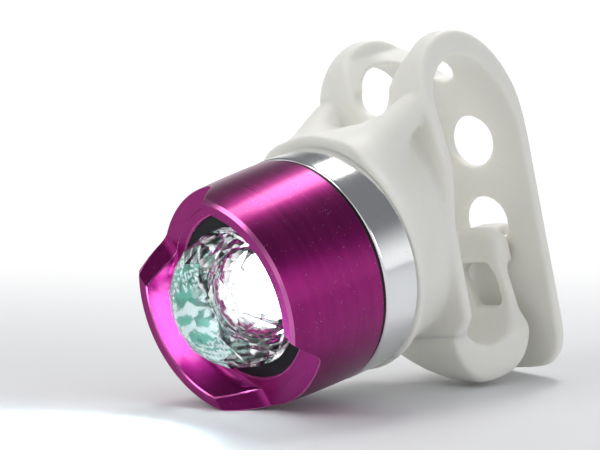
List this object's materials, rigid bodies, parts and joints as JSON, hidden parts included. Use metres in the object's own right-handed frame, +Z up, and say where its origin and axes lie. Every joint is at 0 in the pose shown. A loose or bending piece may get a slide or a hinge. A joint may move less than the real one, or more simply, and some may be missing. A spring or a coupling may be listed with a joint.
{
  "type": "bicycle headlight",
  "caption": "Small round bicycle headlight with a notched turned bezel, polished cup, faceted press-to-switch lens and a looped silicone strap that hooks round the bar.",
  "frame": {"origin": "centre of the bounding box, at the table surface the lamp lies on", "axes": "+Z up from the table; the lens looks along -Y and about 12 degrees down; +Y towards the strap's tail; +X to the lamp's side"},
  "size_m": [0.0308, 0.0584, 0.0479],
  "materials": {
    "anodised": "magenta anodised, fine turned",
    "polished": "polished",
    "black_rubber": "matt",
    "clear": "clear, gloss",
    "board": "white solder mask",
    "led": "gloss",
    "black_plastic": "matt",
    "ceramic": "matt",
    "white_plastic": "matt",
    "plated": "nickel plated",
    "cell": "bright",
    "screw": "bright",
    "silicone": "translucent milky silicone, satin"
  },
  "bodies": {
    "head": {"rear_cup": "polished", "strap_base": "silicone", "clamp_screw": "screw", "anchor_plate": "screw", "battery_holder": "white_plastic", "cell_front": "cell", "cell_rear": "cell", "spring_contact": "plated", "cup_contact": "plated", "switch_plunger": "white_plastic"},
    "seam_ring": {"o_ring": "black_rubber"},
    "bezel": {"bezel": "anodised", "lens_seal": "black_rubber"},
    "lens_module": {"lens": "clear", "led_board": "board", "led_package": "led", "led_dome": "clear", "switch_body": "black_plastic", "control_chip": "black_plastic", "board_resistors": "black_plastic", "board_capacitor": "ceramic"},
    "strap_tail": {"strap_tail": "silicone"}
  },
  "joints": [
    {"name": "bezel_lift", "type": "slide", "parent": "head", "child": "seam_ring", "axis": [0, -0.9767, -0.2147], "range_m": [0, 0.004]},
    {"name": "bezel_turn", "type": "hinge", "parent": "seam_ring", "child": "bezel", "pos_m": [0.00004, -0.01023, 0.01693], "axis": [0, -0.9767, -0.2147], "range_deg": [0, 1440]},
    {"name": "lens_press", "type": "slide", "parent": "head", "child": "lens_module", "axis": [0, 0.9767, 0.2147], "range_m": [0, 0.0006], "stiffness_N_per_m": 2000, "springref_m": -0.0002},
    {"name": "strap_swing", "type": "hinge", "parent": "head", "child": "strap_tail", "pos_m": [-0.00299, 0.01112, 0.04673], "axis": [0.9924, -0.0264, 0.1199], "range_deg": [0, 95], "stiffness_Nm_per_rad": 0.04}
  ],
  "couplings": [
    {"joint": "bezel_lift", "follows": "bezel_turn", "m_per_rad": 0.00015915}
  ]
}
